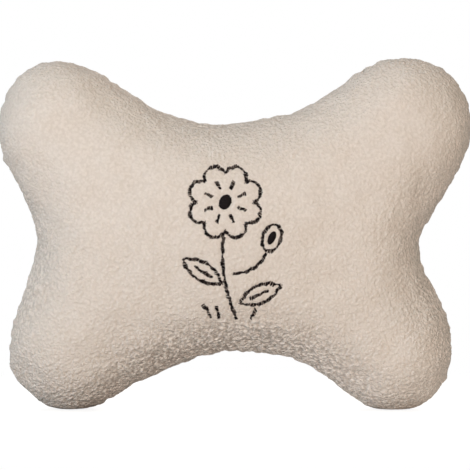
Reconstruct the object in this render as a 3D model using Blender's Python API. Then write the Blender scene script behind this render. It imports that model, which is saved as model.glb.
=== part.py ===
"""Car neck pillow: a bone-shaped fleece cushion with an elastic band for the headrest.

Metres, +Z up. The pillow stands on its two lower lobes, the embroidered front faces -Y and the
band crosses the back. The origin is on the floor, in the middle of the pillow's box.
"""

import math

import bmesh
import bpy
import numpy as np
from mathutils import Vector
from mathutils.bvhtree import BVHTree

# Outline: four round lobes joined by four hollow waists, seen from the front
UPPER_LEFT_X = -0.1091
UPPER_LEFT_Z = 0.1785
UPPER_LEFT_RADIUS = 0.0429
UPPER_RIGHT_X = 0.1050
UPPER_RIGHT_Z = 0.1776
UPPER_RIGHT_RADIUS = 0.0460
LOWER_RIGHT_X = 0.1003
LOWER_RIGHT_RADIUS = 0.0398
LOWER_LEFT_X = -0.1001
LOWER_LEFT_RADIUS = 0.0441
TOP_WAIST_RADIUS = 0.1157
RIGHT_WAIST_RADIUS = 0.0633
BOTTOM_WAIST_RADIUS = 0.1118
LEFT_WAIST_RADIUS = 0.0786
FOOT_FLAT = 0.0020  # how far each lower lobe is pressed flat where it stands

# Stuffed section: the edge rolls over as a quarter ellipse, and the belly is crowned on top of it
EDGE_ROLL = 0.0390  # from the seam in to where the roll levels out
EDGE_DEPTH = 0.0350  # from the seam plane to the top of the roll
BELLY_CROWN = 0.0140
BELLY_HALF_WIDTH = 0.1050
BELLY_HALF_HEIGHT = 0.0680

# Fabric and seam
FABRIC = 0.0025  # fleece with its pile pressed down
SEAM_ALLOWANCE = 0.0090
SEAM_DIP = 0.0010  # how far the seam line lies below the rolled edge
CLEARANCE = 0.0003  # between pieces that touch

# Elastic band
STRAP_WIDTH = 0.0300
STRAP_THICKNESS = 0.0015
STRAP_HEIGHT = 0.1030  # of its middle above the floor
STRAP_STANDOFF = 0.0100  # from the belly to the band at the middle
STRAP_LEVEL = 0.0400  # its straight middle stretch
STRAP_END_INSET = 0.0080  # from the side seams to its sewn ends
STRAP_ARCH_INSET = 0.0050  # from the side seams to where its arch would meet the seam plane
STRAP_EASING = 0.0020  # how softly it lifts off the back
STRAP_SEAT = 0.0008  # from the faceted back to the underside of the band
TACK_INSET = 0.0030  # from the band's end and edges to the box of stitches
TACK_LENGTH = 0.0160
TACK_THREAD = 0.0012
TACK_CORNER = 0.0010  # how far each side of the box stops short of its corners

# Embroidered sprig
SPRIG_X = -0.0015
SPRIG_Z = 0.1070
THREAD_WIDTH = 0.0020
THREAD_HEIGHT = 0.0009
STITCH_SEAT = 0.0005  # from the faceted front to the underside of the thread
PATCH_TOP = 0.6  # share of a patch's width that stands at its full height
DAISY_X = -0.0040
DAISY_Z = 0.0240
DAISY_RADIUS = 0.0175
PETAL_REACH = 0.0055
PETALS = 8
DAISY_EYE = 0.0045
PETAL_LINE_START = 0.0085
PETAL_LINE_END = 0.0135
STEM_GAP = 0.0040  # between the stem's head and the petals
STEM_SIDE = 0.0010  # how far its head stands to the left of the flower's middle
LEAF_WIDTH = 0.0110
BUD_LENGTH = 0.0170
BUD_WIDTH = 0.0110
SEED_LENGTH = 0.0085
SEED_WIDTH = 0.0050

# Fineness of the meshes
LOBE_STEPS = 12
WAIST_STEPS = 6
ROLL_ANGLES = (4, 13, 24, 37, 52)  # degrees round the edge roll
BODY_RINGS = (0.86, 0.70, 0.52, 0.33, 0.15)
SEAM_SAMPLES = 80  # points on each arc when measuring the distance to the seam
STRAP_STATIONS = 33
STRAP_ROWS = 4  # of points across its width

FRONT, BACK = -1, 1


def xz(x, z):
    return np.array([x, z])


LOBES = (
    (xz(UPPER_LEFT_X, UPPER_LEFT_Z), UPPER_LEFT_RADIUS),
    (xz(UPPER_RIGHT_X, UPPER_RIGHT_Z), UPPER_RIGHT_RADIUS),
    (xz(LOWER_RIGHT_X, LOWER_RIGHT_RADIUS - FOOT_FLAT), LOWER_RIGHT_RADIUS),
    (xz(LOWER_LEFT_X, LOWER_LEFT_RADIUS - FOOT_FLAT), LOWER_LEFT_RADIUS),
)
WAIST_RADII = (
    TOP_WAIST_RADIUS,
    RIGHT_WAIST_RADIUS,
    BOTTOM_WAIST_RADIUS,
    LEFT_WAIST_RADIUS,
)


def waist_centre(first, second, radius):
    """Centre of the circle that touches two neighbouring lobes from outside the pillow."""
    (a, ra), (b, rb) = first, second
    apart = np.linalg.norm(b - a)
    along = (b - a) / apart
    x = (apart**2 + (radius + ra) ** 2 - (radius + rb) ** 2) / (2 * apart)
    out = math.sqrt((radius + ra) ** 2 - x**2)
    return a + along * x + xz(-along[1], along[0]) * out


WAISTS = [waist_centre(LOBES[i], LOBES[(i + 1) % 4], WAIST_RADII[i]) for i in range(4)]


def angle_to(start, end):
    return math.atan2(end[1] - start[1], end[0] - start[0])


def lobe_angles(i, steps):
    """Angles clockwise round lobe i, from one waist to just before the next."""
    start = angle_to(LOBES[i][0], WAISTS[i - 1])
    sweep = (start - angle_to(LOBES[i][0], WAISTS[i])) % (2 * math.pi)
    return start - sweep * np.arange(steps) / steps


def waist_angles(i, steps):
    """Angles anticlockwise round the circle of waist i, from one lobe to just before the next."""
    start = angle_to(WAISTS[i], LOBES[i][0])
    sweep = (angle_to(WAISTS[i], LOBES[(i + 1) % 4][0]) - start) % (2 * math.pi)
    return start + sweep * np.arange(steps) / steps


def seam(fine=False):
    """Points on the seam, clockwise from the upper left lobe, and the way inwards at each."""
    points, inwards = [], []
    for i in range(4):
        angles = lobe_angles(i, SEAM_SAMPLES if fine else LOBE_STEPS)
        out = np.stack([np.cos(angles), np.sin(angles)], axis=1)
        points.append(LOBES[i][0] + out * LOBES[i][1])
        inwards.append(-out)
        angles = waist_angles(i, SEAM_SAMPLES if fine else WAIST_STEPS)
        out = np.stack([np.cos(angles), np.sin(angles)], axis=1)
        points.append(WAISTS[i] + out * WAIST_RADII[i])
        inwards.append(out)
    return np.concatenate(points), np.concatenate(inwards)


SEAM_POINTS, SEAM_INWARDS = seam()
FINE_SEAM = seam(fine=True)[0]
MIDDLE = np.mean(WAISTS, axis=0)
LEFT_EDGE = min(c[0] - r for c, r in LOBES)
RIGHT_EDGE = max(c[0] + r for c, r in LOBES)
BELLY_DEPTH = EDGE_DEPTH + BELLY_CROWN
STRAP_TOP = BELLY_DEPTH + STRAP_STANDOFF  # the band's inner side, from the seam plane
X_SHIFT = -(LEFT_EDGE + RIGHT_EDGE) / 2
SEAM_Y = -(STRAP_TOP + STRAP_THICKNESS - BELLY_DEPTH) / 2
HALF_GAP = CLEARANCE / 2


def from_seam(points):
    """Distance of each point from the seam."""
    return np.linalg.norm(points[:, None] - FINE_SEAM[None], axis=2).min(axis=1)


def local_depth(points):
    """Depth of the stuffing from the seam plane, before the edge roll takes it down."""
    away = (points - MIDDLE) / (BELLY_HALF_WIDTH, BELLY_HALF_HEIGHT)
    return EDGE_DEPTH + BELLY_CROWN * np.exp(-(away**2).sum(axis=1))


def rolled(points, layer):
    """Height over the seam plane of the surface that lies a layer's depth under the outside."""
    share = np.clip((from_seam(points) - layer) / (EDGE_ROLL - layer), 0, 1)
    return (local_depth(points) - layer) * np.sqrt(1 - (1 - share) ** 2)


def inset(distance):
    return SEAM_POINTS + SEAM_INWARDS * distance


def placed(points, heights, side, floor):
    """Points in the part's frame, from the outline's plane and heights over the seam plane.

    An inner layer stays above its own floor, so that the fabric keeps its thickness at the feet.
    """
    y = SEAM_Y + side * np.broadcast_to(heights, len(points))
    z = np.maximum(points[:, 1], floor) if floor else points[:, 1]
    return np.stack([points[:, 0] + X_SHIFT, y, z], axis=1)


def rings(layer, side):
    """Rings of one panel's surface at a layer's depth, from the edge to near the middle."""
    found = []
    for degrees in ROLL_ANGLES:
        angle = math.radians(degrees)
        flat = inset(layer + (EDGE_ROLL - layer) * (1 - math.cos(angle)))
        high = (local_depth(flat) - layer) * math.sin(angle)
        found.append(placed(flat, high, side, layer))
    for share in BODY_RINGS:
        points = MIDDLE + (flat - MIDDLE) * share
        found.append(placed(points, rolled(points, layer), side, layer))
    return found


def crown(layer, side):
    points = MIDDLE[None]
    return placed(points, rolled(points, layer), side, layer)[0]


def closed_skin(name, first, loops, last):
    """A closed mesh from a middle point, through rings of equal length, to another middle point.

    The diagonals of both halves lean the same way, so that nested skins keep their clearance.
    """
    bm = bmesh.new()
    start, end = bm.verts.new(first), bm.verts.new(last)
    rows = [[bm.verts.new(p) for p in loop] for loop in loops]
    count = len(rows[0])
    for i in range(count):
        j = (i + 1) % count
        bm.faces.new((start, rows[0][j], rows[0][i]))
        bm.faces.new((end, rows[-1][i], rows[-1][j]))
        for n, (a, b) in enumerate(zip(rows, rows[1:])):
            if n < len(rows) // 2:
                bm.faces.new((a[i], a[j], b[j]))
                bm.faces.new((a[i], b[j], b[i]))
            else:
                bm.faces.new((a[i], a[j], b[i]))
                bm.faces.new((a[j], b[j], b[i]))
    return finish(name, bm)


def finish(name, bm):
    """Turn every face outwards and link the mesh as an object."""
    bmesh.ops.recalc_face_normals(bm, faces=bm.faces)
    if bm.calc_volume(signed=True) < 0:
        bmesh.ops.reverse_faces(bm, faces=bm.faces)
    mesh = bpy.data.meshes.new(name)
    bm.to_mesh(mesh)
    bm.free()
    piece = bpy.data.objects.new(name, mesh)
    bpy.context.scene.collection.objects.link(piece)
    return piece


def material(name, colour, roughness, metallic=0.0):
    made = bpy.data.materials.new(name)
    made.use_nodes = True
    shader = made.node_tree.nodes["Principled BSDF"]
    shader.inputs["Base Color"].default_value = (*colour, 1)
    shader.inputs["Roughness"].default_value = roughness
    shader.inputs["Metallic"].default_value = metallic
    return made


def press_feet(piece):
    """Cut the piece level with the floor, where the lower lobes are pressed flat."""
    bm = bmesh.new()
    bm.from_mesh(piece.data)
    everything = bm.verts[:] + bm.edges[:] + bm.faces[:]
    bmesh.ops.bisect_plane(
        bm, geom=everything, dist=1e-7, plane_co=(0, 0, 0), plane_no=(0, 0, -1), clear_outer=True
    )
    rim = [e for e in bm.edges if e.is_boundary]
    bmesh.ops.holes_fill(bm, edges=rim, sides=0)
    bmesh.ops.recalc_face_normals(bm, faces=bm.faces)
    bm.to_mesh(piece.data)
    bm.free()


def panel(name, side):
    """A fleece panel: the stuffed outside, its inside, and the seam allowance turned in."""
    over = HALF_GAP + FABRIC
    outside = rings(0.0, side)
    inside = rings(FABRIC, side)[1:]
    edge = placed(inset(SEAM_DIP), HALF_GAP, side, 0.0)
    tip = inset(SEAM_ALLOWANCE)
    loops = outside[::-1] + [edge, placed(tip, HALF_GAP, side, 0.0), placed(tip, over, side, 0.0)]
    loops += [placed(inset(FABRIC), over, side, FABRIC)] + inside
    piece = closed_skin(name, crown(0.0, side), loops, crown(FABRIC, side))
    press_feet(piece)
    return piece


def fibre_fill():
    """The stuffing: it fills the cover and is grooved round the seam allowances."""
    layer = FABRIC + CLEARANCE
    neck = inset(SEAM_ALLOWANCE + CLEARANCE)
    over = HALF_GAP + FABRIC + CLEARANCE
    loops = []
    for side in (FRONT, BACK):
        half = rings(layer, side)[1:][::-1]
        half += [placed(inset(layer), over, side, layer), placed(neck, over, side, layer)]
        loops += half if side == FRONT else half[::-1]
    return closed_skin("fibre_fill", crown(layer, FRONT), loops, crown(layer, BACK))


class Cloth:
    """A panel's or the band's outer side, which other pieces are seated on."""

    def __init__(self, piece, side):
        bm = bmesh.new()
        bm.from_mesh(piece.data)
        self.tree = BVHTree.FromBMesh(bm)
        self.side = side
        bm.free()

    def seat(self, x, z):
        """Point on the cloth at a place in the part's frame, and its outward direction."""
        start = Vector((x, SEAM_Y + self.side * 2 * BELLY_DEPTH, z))
        point, normal, _, _ = self.tree.ray_cast(start, Vector((0, -self.side, 0)))
        return point, normal

    def edges(self, spot, side):
        return self.seat(*(spot - side)), self.seat(*(spot + side))

    def line(self, name, places, closed=False, width=THREAD_WIDTH):
        """A raised line of thread through places on the cloth."""
        bm = bmesh.new()
        spots = np.array(places)
        ahead, behind = np.roll(spots, -1, axis=0), np.roll(spots, 1, axis=0)
        if not closed:
            ahead[-1], behind[0] = spots[-1], spots[0]
        along = ahead - behind
        along /= np.linalg.norm(along, axis=1)[:, None]
        half = np.stack([-along[:, 1], along[:, 0]], axis=1) * width / 2
        sections = []
        for spot, side in zip(spots, half):
            low = [point + normal * STITCH_SEAT for point, normal in self.edges(spot, side)]
            high = [
                point + normal * (STITCH_SEAT + THREAD_HEIGHT)
                for point, normal in self.edges(spot, side / 2)
            ]
            sections.append([bm.verts.new(p) for p in (low[0], low[1], high[1], high[0])])
        bridge(bm, sections, closed)
        return finish(name, bm)

    def patch(self, name, places):
        """A solid patch of thread, low at its edge and raised inside it."""
        bm = bmesh.new()
        seats = [self.seat(*p) for p in places]
        point, normal = self.seat(*np.mean(places, axis=0))
        base, rim, top = [], [], []
        for place, out in seats:
            base.append(bm.verts.new(place + out * STITCH_SEAT))
            rim.append(bm.verts.new(place + out * (STITCH_SEAT + THREAD_HEIGHT / 2)))
            inner = point.lerp(place, PATCH_TOP)
            top.append(bm.verts.new(inner + normal * (STITCH_SEAT + THREAD_HEIGHT)))
        bridge(bm, [base, rim, top], closed=False)
        return finish(name, bm)


def side_seam(waist, radius, inward):
    """Where the side seam lies furthest in across the band's width."""
    rise = max(abs(STRAP_HEIGHT + side * STRAP_WIDTH / 2 - waist[1]) for side in (-1, 1))
    return waist[0] + inward * math.sqrt(radius**2 - rise**2) + X_SHIFT


LEFT_SEAM = side_seam(WAISTS[3], LEFT_WAIST_RADIUS, 1)
RIGHT_SEAM = side_seam(WAISTS[1], RIGHT_WAIST_RADIUS, -1)


def strap_arch(x):
    """The band's height over the seam plane where it stands free of the back."""
    seam_x = LEFT_SEAM if x < X_SHIFT else RIGHT_SEAM
    past = max(0.0, abs(x - X_SHIFT) - STRAP_LEVEL / 2)
    span = abs(seam_x - X_SHIFT) - STRAP_ARCH_INSET - STRAP_LEVEL / 2
    return STRAP_TOP * math.sqrt(max(0.0, 1 - (past / span) ** 2))


def strap_places():
    """Places along the band from one sewn end to the other, with the level stretch's ends."""
    ends = [LEFT_SEAM + STRAP_END_INSET, X_SHIFT - STRAP_LEVEL / 2]
    ends += [X_SHIFT + STRAP_LEVEL / 2, RIGHT_SEAM - STRAP_END_INSET]
    side_steps = STRAP_STATIONS // 2
    left = np.linspace(ends[0], ends[1], side_steps)
    right = np.linspace(ends[2], ends[3], side_steps)
    return np.concatenate([left, right])


def headrest_strap(back):
    """The elastic band: its ends lie on the back panel, and its middle stands off the belly."""
    places = strap_places()
    bm = bmesh.new()
    rows = []
    for z in np.linspace(-0.5, 0.5, STRAP_ROWS) * STRAP_WIDTH + STRAP_HEIGHT:
        under = []
        for x in places:
            on_back = back.seat(x, z)[0].y - SEAM_Y + STRAP_SEAT
            free = strap_arch(x)
            apart = math.hypot(on_back - free, STRAP_EASING)
            lifted = free if free > on_back + STRAP_STANDOFF / 2 else (on_back + free + apart) / 2
            under.append((x, SEAM_Y + lifted))
        rows.append((z, np.array(under)))
    lower, upper = [], []
    for z, under in rows:
        along = np.gradient(under, axis=0)
        along /= np.linalg.norm(along, axis=1)[:, None]
        over = under + np.stack([-along[:, 1], along[:, 0]], axis=1) * STRAP_THICKNESS
        lower.append([bm.verts.new((x, y, z)) for x, y in under])
        upper.append([bm.verts.new((x, y, z)) for x, y in over])
    sections = [
        [row[k] for row in lower] + [row[k] for row in upper[::-1]] for k in range(len(places))
    ]
    bridge(bm, sections, closed=False)
    return finish("headrest_strap", bm)


def tack(name, strap, seam_x, inward):
    """The box of stitches that holds one end of the band to the back panel."""
    start = seam_x + inward * (STRAP_END_INSET + TACK_INSET)
    end = start + inward * TACK_LENGTH
    low = STRAP_HEIGHT - STRAP_WIDTH / 2 + TACK_INSET
    high = STRAP_HEIGHT + STRAP_WIDTH / 2 - TACK_INSET
    corners = [(start, low), (start, high), (end, high), (end, low)]
    places = []
    for a, b in zip(corners, corners[1:] + corners[:1]):
        short = (np.array(b) - a) * TACK_CORNER / math.dist(a, b)
        places += [tuple(p) for p in np.linspace(a + short, b - short, 4)]
    return strap.line(name, places, closed=True, width=TACK_THREAD)


def bridge(bm, sections, closed):
    """Faces between neighbouring sections of a strip, with end caps where it is open."""
    pairs = list(zip(sections, sections[1:]))
    if closed:
        pairs.append((sections[-1], sections[0]))
    else:
        bm.faces.new(sections[0])
        bm.faces.new(sections[-1])
    for a, b in pairs:
        for i in range(len(a)):
            j = (i + 1) % len(a)
            bm.faces.new((a[i], a[j], b[j], b[i]))


def oval(x, z, length, width, lean, count):
    """Points round an oval that leans by an angle from upright."""
    places = []
    for i in range(count):
        turn = 2 * math.pi * i / count
        a, b = width / 2 * math.cos(turn), length / 2 * math.sin(turn)
        places.append(
            (
                x + a * math.cos(lean) + b * math.sin(lean),
                z - a * math.sin(lean) + b * math.cos(lean),
            )
        )
    return places


def on_front(places):
    """Places of the sprig in the part's frame."""
    return [(SPRIG_X + x, SPRIG_Z + z) for x, z in places]


def daisy_outline():
    """The petals' outer edge, scalloped round the flower's middle."""
    places = []
    count = PETALS * 6
    for i in range(count):
        turn = 2 * math.pi * i / count
        reach = DAISY_RADIUS + PETAL_REACH * abs(math.sin(PETALS * turn / 2)) ** 0.7
        places.append((DAISY_X + reach * math.sin(turn), DAISY_Z + reach * math.cos(turn)))
    return places


def petal_line(i):
    """A short line from the eye outwards, in the middle of a petal."""
    turn = 2 * math.pi * (i + 0.5) / PETALS
    return [
        (DAISY_X + r * math.sin(turn), DAISY_Z + r * math.cos(turn))
        for r in (PETAL_LINE_START, (PETAL_LINE_START + PETAL_LINE_END) / 2, PETAL_LINE_END)
    ]


def curve(start, pull, end, count):
    """Points along a curve from start to end that is drawn towards pull."""
    start, pull, end = (np.array(p) for p in (start, pull, end))
    t = np.linspace(0, 1, count)[:, None]
    return [tuple(p) for p in (1 - t) ** 2 * start + 2 * t * (1 - t) * pull + t**2 * end]


def leaf(base, tip):
    """Pointed leaf outline between its base and its tip."""
    base, tip = np.array(base), np.array(tip)
    along = tip - base
    out = xz(-along[1], along[0]) / np.linalg.norm(along) * LEAF_WIDTH
    middle = (base + tip) / 2
    there = curve(base, middle + out, tip, 9)
    back = curve(tip, middle - out, base, 9)
    return there[:-1] + back[:-1]


def vein(base, tip):
    base, tip = np.array(base), np.array(tip)
    return curve(base * 0.75 + tip * 0.25, (base + tip) / 2, base * 0.3 + tip * 0.7, 4)


STEM_FOOT = (0.0030, -0.0480)
STEM_PULL = (-0.0080, -0.0220)
STEM_HEAD = (DAISY_X - STEM_SIDE, DAISY_Z - DAISY_RADIUS - STEM_GAP)
LEFT_LEAF = ((-0.0060, -0.0260), (-0.0300, -0.0110))
RIGHT_LEAF = ((0.0050, -0.0380), (0.0300, -0.0270))
BUD_STEM = ((0.0010, -0.0200), (0.0160, -0.0190), (0.0210, -0.0075))
BUD = (0.0245, 0.0020)
BUD_LEAN = 0.35
GRASS = (
    ((-0.0130, -0.0470), (-0.0145, -0.0420), (-0.0180, -0.0390)),
    ((-0.0080, -0.0475), (-0.0085, -0.0430), (-0.0095, -0.0400)),
    ((0.0120, -0.0480), (0.0125, -0.0450), (0.0150, -0.0420)),
)


def sprig(front):
    """The embroidered flower, each of its stitched figures a piece."""
    rings_of_thread = {
        "daisy_outline": daisy_outline(),
        "left_leaf": leaf(*LEFT_LEAF),
        "right_leaf": leaf(*RIGHT_LEAF),
        "bud_outline": oval(*BUD, BUD_LENGTH, BUD_WIDTH, BUD_LEAN, 14),
    }
    lines = {
        "main_stem": curve(STEM_FOOT, STEM_PULL, STEM_HEAD, 16),
        "left_leaf_vein": vein(*LEFT_LEAF),
        "right_leaf_vein": vein(*RIGHT_LEAF),
        "bud_stem": curve(*BUD_STEM, 6),
    }
    lines |= {f"petal_line_{i + 1}": petal_line(i) for i in range(PETALS)}
    lines |= {f"grass_{i + 1}": curve(*blade, 4) for i, blade in enumerate(GRASS)}
    patches = {
        "daisy_eye": oval(DAISY_X, DAISY_Z, 2 * DAISY_EYE, 2 * DAISY_EYE, 0, 12),
        "bud_seed": oval(*BUD, SEED_LENGTH, SEED_WIDTH, BUD_LEAN, 12),
    }
    pieces = [front.line(name, on_front(p), closed=True) for name, p in rings_of_thread.items()]
    pieces += [front.line(name, on_front(p)) for name, p in lines.items()]
    pieces += [front.patch(name, on_front(p)) for name, p in patches.items()]
    return pieces


def main():
    for old in list(bpy.data.objects):
        bpy.data.objects.remove(old)
    front = panel("front_panel", FRONT)
    front.data.materials.append(material("fleece_front", (0.70, 0.62, 0.53), 0.95))
    back = panel("back_panel", BACK)
    back.data.materials.append(material("fleece_back", (0.69, 0.61, 0.52), 0.95))
    fill = fibre_fill()
    fill.data.materials.append(material("polyester_fibre", (0.85, 0.85, 0.84), 1.0))
    strap = headrest_strap(Cloth(back, BACK))
    strap.data.materials.append(material("woven_elastic", (0.72, 0.67, 0.60), 0.8))
    band = Cloth(strap, BACK)
    tacks = [
        tack("left_tack", band, LEFT_SEAM, 1),
        tack("right_tack", band, RIGHT_SEAM, -1),
    ]
    for piece in tacks:
        piece.data.materials.append(material(f"thread_{piece.name}", (0.72, 0.66, 0.58), 0.6))
    for piece in sprig(Cloth(front, FRONT)):
        piece.data.materials.append(material(f"thread_{piece.name}", (0.03, 0.02, 0.018), 0.6))


main()
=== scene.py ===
"""Looks of a bone-shaped neck pillow: curled fleece, stuffing, elastic band and stitched sprig."""

import math

import bpy
import numpy as np
from bpy.props import FloatProperty, FloatVectorProperty, IntProperty, PointerProperty
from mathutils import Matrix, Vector, geometry, kdtree
from mathutils.bvhtree import BVHTree


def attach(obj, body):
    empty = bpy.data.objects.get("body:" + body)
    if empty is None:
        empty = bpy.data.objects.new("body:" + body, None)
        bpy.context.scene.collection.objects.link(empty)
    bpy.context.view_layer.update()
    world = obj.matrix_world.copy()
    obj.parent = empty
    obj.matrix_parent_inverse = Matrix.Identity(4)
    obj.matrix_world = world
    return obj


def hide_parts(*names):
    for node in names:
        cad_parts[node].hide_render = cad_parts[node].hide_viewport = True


bl_info = {
    "name": "Bone Neck Pillow",
    "version": (1, 0, 0),
    "blender": (4, 5, 0),
    "location": "3D View > Sidebar > Neck Pillow",
    "description": "Sews a bone-shaped fleece neck pillow round its packed solids",
    "category": "Object",
}

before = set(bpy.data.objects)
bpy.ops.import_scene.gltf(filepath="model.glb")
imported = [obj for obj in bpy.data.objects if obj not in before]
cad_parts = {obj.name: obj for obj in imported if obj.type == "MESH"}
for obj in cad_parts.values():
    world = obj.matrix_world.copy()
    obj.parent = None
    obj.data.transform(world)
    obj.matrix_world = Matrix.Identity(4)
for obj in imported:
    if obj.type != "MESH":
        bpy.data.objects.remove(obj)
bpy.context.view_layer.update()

FRONT, BACK = -1, 1
SEAM_Y = -0.00575

# Lobes clockwise from the upper left one: centre x, centre z and radius
LOBES = (
    (-0.1086, 0.1785, 0.0429),
    (0.1055, 0.1776, 0.0460),
    (0.1008, 0.0378, 0.0398),
    (-0.0996, 0.0421, 0.0441),
)
WAIST_RADII = (0.1157, 0.0633, 0.1118, 0.0786)

# The rolled edge seen from the front, its depth over the seam and the extra depth of the belly
EDGE_ROLL = 0.0390
EDGE_DEPTH = 0.0350
BELLY_CROWN = 0.0140
BELLY_SPAN = (0.1050, 0.0680)

# The same rolled edge along the fabric, and how far it reaches out when it is laid flat
ROLL_ARC = 0.0375
ROLL_LENGTH = ROLL_ARC * math.pi / 2
SPREAD = ROLL_LENGTH - EDGE_ROLL

# How far the real edge stands out from the arcs, in mm, at even steps along the seam
EDGE_EASE = (
    0.6, -2.0, -2.0, -1.5, 0.2, 0.8, -0.3, -1.1, 0.1, 0.7, -0.1, -0.5,
    -1.0, -0.2, 1.0, 0.9, -0.1, 0.3, 0.3, -0.7, -0.5, -0.1, 0.6, 1.0,
    0.4, -1.0, -2.0, -0.7, 2.3, 1.5, -1.8, -0.5, 2.5, 1.9, -1.5, -2.2,
    -1.6, -0.8, -0.3, -0.5, -0.3, -0.3, -1.4, -2.9, -2.3, -1.6, -1.4, -0.3,
    0.9, 0.4, -1.6, -3.4, -1.6, -0.3, 0.2, -0.1, -0.2, -0.9, -0.7, 0.8,
    0.3, -1.3, -0.3, 1.8,
)
EASE_FADE = 1.5


class Outline:
    """The edge of the pillow: arcs of four lobes and four waists."""

    def __init__(self, grow=0.0):
        """grow moves the whole edge outwards, as when the rolled edge is laid flat."""
        self.arcs = []
        centres = [np.array(lobe[:2]) for lobe in LOBES]
        waists = [self.waist_centre(i) for i in range(4)]
        self.middle = np.mean(waists, axis=0)
        run = 0.0
        for i in range(4):
            start = self.angle(centres[i], waists[i - 1])
            sweep = (start - self.angle(centres[i], waists[i])) % (2 * math.pi)
            self.arcs.append((centres[i], LOBES[i][2], grow, 1, start, sweep, run))
            run += LOBES[i][2] * sweep
            start = self.angle(waists[i], centres[i])
            sweep = (self.angle(waists[i], centres[(i + 1) % 4]) - start) % (2 * math.pi)
            self.arcs.append((waists[i], WAIST_RADII[i], -grow, -1, start, sweep, run))
            run += WAIST_RADII[i] * sweep
        self.length = run

    @staticmethod
    def angle(start, end):
        return math.atan2(end[1] - start[1], end[0] - start[0])

    @staticmethod
    def waist_centre(i):
        """Centre of the circle that touches two neighbouring lobes from outside."""
        radius = WAIST_RADII[i]
        first, second = LOBES[i], LOBES[(i + 1) % 4]
        a, b = np.array(first[:2]), np.array(second[:2])
        apart = np.linalg.norm(b - a)
        along = (b - a) / apart
        x = (apart**2 + (radius + first[2]) ** 2 - (radius + second[2]) ** 2) / (2 * apart)
        out = math.sqrt((radius + first[2]) ** 2 - x**2)
        return a + along * x + np.array([-along[1], along[0]]) * out

    def measure(self, points):
        """For each point its distance inside the edge, the way outwards and its place along it."""
        depth = np.full(len(points), np.inf)
        out = np.zeros((len(points), 2))
        place = np.zeros(len(points))
        for centre, radius, grow, side, start, sweep, run in self.arcs:
            away = points - centre
            reach = np.linalg.norm(away, axis=1) + 1e-12
            turn = (start - np.arctan2(away[:, 1], away[:, 0])) * side % (2 * math.pi)
            found = (radius + grow - reach) * side
            best = (turn <= sweep + 1e-9) & (found < depth)
            depth[best] = found[best]
            out[best] = (side * away / reach[:, None])[best]
            place[best] = run + turn[best] * radius
        return depth, out, place

    def walk(self, step):
        """Evenly spaced points once round the edge."""
        found = []
        for centre, radius, grow, side, start, sweep, _ in self.arcs:
            count = max(2, round((radius + grow) * sweep / step))
            angles = start - side * sweep * np.arange(count) / count
            way = np.stack([np.cos(angles), np.sin(angles)], axis=1)
            found.append(centre + (radius + grow) * way)
        return np.concatenate(found)


EDGE = Outline()
PATTERN = Outline(SPREAD)  # the panel's cut, with its rolled edge laid flat


def eased(place, turn):
    """How far the easing moves a point outwards: all of it at the seam, none past the roll."""
    knots = np.array(EDGE_EASE) / 1000
    at = place / EDGE.length * len(knots)
    k = np.floor(at).astype(int)
    t = at - k
    a, b, c, d = (knots[(k + i) % len(knots)] for i in (-1, 0, 1, 2))
    curve = b + 0.5 * t * (c - a + t * (2 * a - 5 * b + 4 * c - d + t * (3 * (b - c) + d - a)))
    return curve * np.cos(turn) ** EASE_FADE


def stuffing_depth(places):
    """Depth of the stuffing over the seam plane, where the fabric lies flat."""
    away = (places - EDGE.middle) / BELLY_SPAN
    return EDGE_DEPTH + BELLY_CROWN * np.exp(-(away**2).sum(axis=1))


def height_at(places):
    """Height of the smooth cushion over the seam plane, at places of its front view."""
    depth, _, place = EDGE.measure(places)
    turn = np.arccos(np.clip(1 - depth / EDGE_ROLL, 0, 1))
    depth = depth + eased(place, turn)
    return stuffing_depth(places) * np.sqrt(1 - np.clip(1 - depth / EDGE_ROLL, 0, 1) ** 2)


def waves(points, seed, longest, shortest, count=28):
    """Soft unevenness between about -1 and 1, as a sum of seeded waves."""
    rng = np.random.default_rng(seed)
    points = points.reshape(len(points), -1)
    total = np.zeros(len(points))
    for length in np.geomspace(longest, shortest, count):
        way = rng.normal(size=points.shape[1])
        way /= np.linalg.norm(way)
        total += np.sin(points @ way * 2 * math.pi / length + rng.uniform(0, 2 * math.pi))
    return total / math.sqrt(count) * 0.8


# Curls: the spread of their turn, how much they bend, and the smallest one's height
CURL_TURN = 0.75
CURL_BEND = 0.35
SMALLEST_CURL = 0.35


def curls(places, seed, spacing, length, radius):
    """Height, about 0 to 1, of short bent curls of pile that lie side by side and run together."""
    rng = np.random.default_rng(seed)
    gap = np.array([spacing * 1.12, spacing * 0.90])
    low = places.min(axis=0) - 3 * gap
    cells = np.floor((places - low) / gap).astype(int)
    count = cells.max(axis=0) + 4
    spots = rng.uniform(0.05, 0.95, (*count, 2))
    turns = rng.normal(0, CURL_TURN, count)
    bends = rng.normal(0, 1, count) * CURL_BEND / length
    sizes = rng.uniform(SMALLEST_CURL, 1.0, count)
    height = np.zeros(len(places))
    for i in (-1, 0, 1):
        for j in (-1, 0, 1):
            a, b = cells[:, 0] + i, cells[:, 1] + j
            away = places - (low + (np.stack([a, b], axis=1) + spots[a, b]) * gap)
            cos, sin = np.cos(turns[a, b]), np.sin(turns[a, b])
            along = away[:, 0] * cos + away[:, 1] * sin
            across = away[:, 1] * cos - away[:, 0] * sin - bends[a, b] * along**2
            off = np.hypot(np.maximum(np.abs(along) - length / 2, 0), across)
            dome = sizes[a, b] * np.clip(1 - (off / radius) ** 2, 0, 1) ** 1.5
            height = height + dome - 0.5 * height * dome
    return height


def grown_mesh(name, points, faces, smooth=True):
    """A linked object with these points and faces."""
    mesh = bpy.data.meshes.new(name)
    mesh.from_pydata([tuple(p) for p in points], [], [tuple(f) for f in faces])
    mesh.polygons.foreach_set("use_smooth", [smooth] * len(mesh.polygons))
    mesh.update()
    piece = bpy.data.objects.new(name, mesh)
    bpy.context.scene.collection.objects.link(piece)
    return piece


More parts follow.
